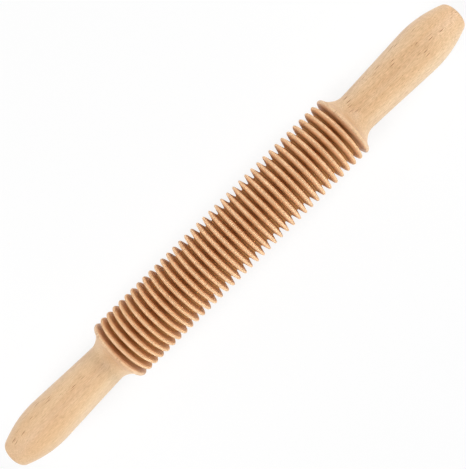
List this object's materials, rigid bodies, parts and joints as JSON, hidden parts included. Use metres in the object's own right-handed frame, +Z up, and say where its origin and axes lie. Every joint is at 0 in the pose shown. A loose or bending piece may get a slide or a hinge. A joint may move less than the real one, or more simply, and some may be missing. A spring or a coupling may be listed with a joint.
{
  "type": "pasta cutter rolling pin",
  "caption": "Rolling pin for cutting pasta: a beech barrel of narrow cutting rings turns on a hidden steel axle between beech handles.",
  "frame": {"origin": "middle of the pin, on the axis that the barrel turns about", "axes": "+X along the pin towards its right handle, +Y across it, +Z up from the surface that it lies on"},
  "size_m": [0.3186, 0.0362, 0.0362],
  "materials": {
    "barrel_beech": "turned beech, crests pale and smooth, grooves darkened by friction",
    "handle_beech": "bare sanded beech, satin, with short dark pore flecks along the grain",
    "axle_steel": "bright drawn rod, straight knurl at both ends",
    "bush_plastic": "plain off-white bearing plastic",
    "washer_steel": "plain flat washer"
  },
  "bodies": {
    "grip": {"left_handle": "handle_beech", "right_handle": "handle_beech", "axle_rod": "axle_steel", "left_thrust_washer": "washer_steel", "right_thrust_washer": "washer_steel"},
    "roller": {"cutter_barrel": "barrel_beech", "left_bush": "bush_plastic", "right_bush": "bush_plastic"}
  },
  "joints": [
    {"name": "barrel_spin", "type": "hinge", "parent": "grip", "child": "roller", "pos_m": [0, 0, 0], "axis": [1, 0, 0], "continuous": true}
  ]
}
